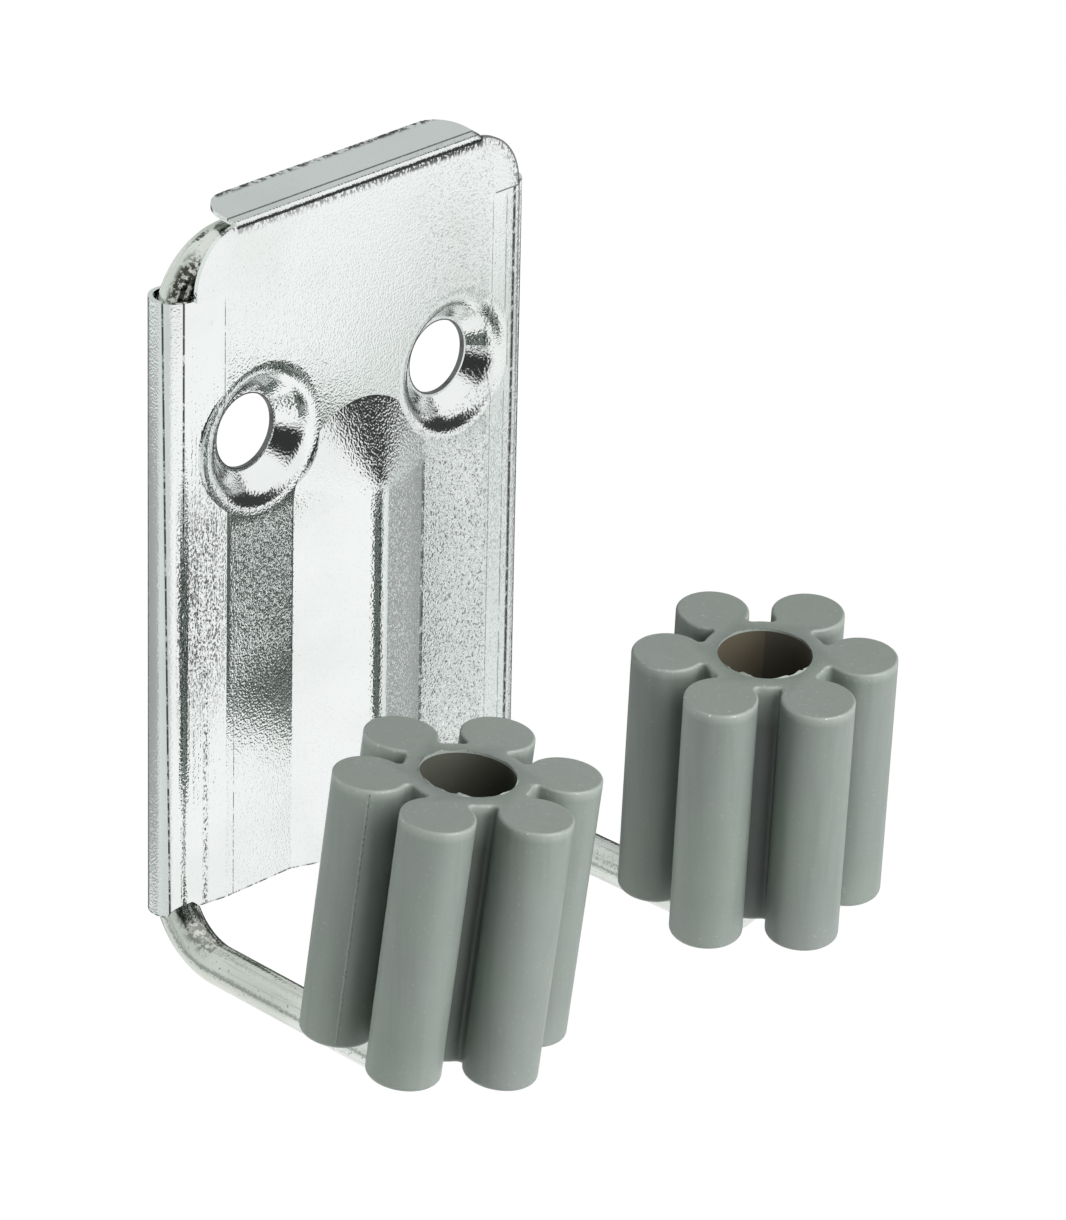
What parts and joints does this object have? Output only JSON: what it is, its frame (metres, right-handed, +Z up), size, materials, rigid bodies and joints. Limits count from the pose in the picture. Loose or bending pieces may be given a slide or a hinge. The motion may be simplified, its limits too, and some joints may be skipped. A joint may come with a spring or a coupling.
{
  "type": "broom clip",
  "caption": "Wall clip for a broom handle: pressed steel back plate with curled edges, and a sprung wire frame whose forward arms carry lobed rubber rollers.",
  "frame": {"origin": "on the wall plane, midway between the axes of the two screw holes", "axes": "+Z up along the wall, -Y out from the wall towards the rollers, +X to the right seen from the front"},
  "size_m": [0.0737, 0.0574, 0.0841],
  "materials": {
    "zinc_plate": "bright zinc plating on pressed sheet",
    "zinc_wire": "bright zinc plating on drawn wire",
    "grey_rubber": "matt grey rubber"
  },
  "bodies": {
    "plate": {"back_plate": "zinc_plate", "wire_yoke": "zinc_wire"},
    "left_arm": {"left_arm": "zinc_wire"},
    "right_arm": {"right_arm": "zinc_wire"},
    "left_roller": {"left_roller": "grey_rubber"},
    "right_roller": {"right_roller": "grey_rubber"}
  },
  "joints": [
    {"name": "left_arm_spring", "type": "hinge", "parent": "plate", "child": "left_arm", "pos_m": [-0.0233, -0.0027, 0], "axis": [0, 0, -1], "range_deg": [-2, 8], "stiffness_Nm_per_rad": 4},
    {"name": "right_arm_spring", "type": "hinge", "parent": "plate", "child": "right_arm", "pos_m": [0.0233, -0.0027, 0], "axis": [0, 0, 1], "range_deg": [-2, 8], "stiffness_Nm_per_rad": 4},
    {"name": "left_roller_spin", "type": "hinge", "parent": "left_arm", "child": "left_roller", "pos_m": [-0.0229, -0.0423, -0.03674], "axis": [0.0591, -0.0905, 0.9941], "continuous": true},
    {"name": "right_roller_spin", "type": "hinge", "parent": "right_arm", "child": "right_roller", "pos_m": [0.02295, -0.04222, -0.03758], "axis": [-0.0591, -0.0905, 0.9941], "continuous": true}
  ]
}
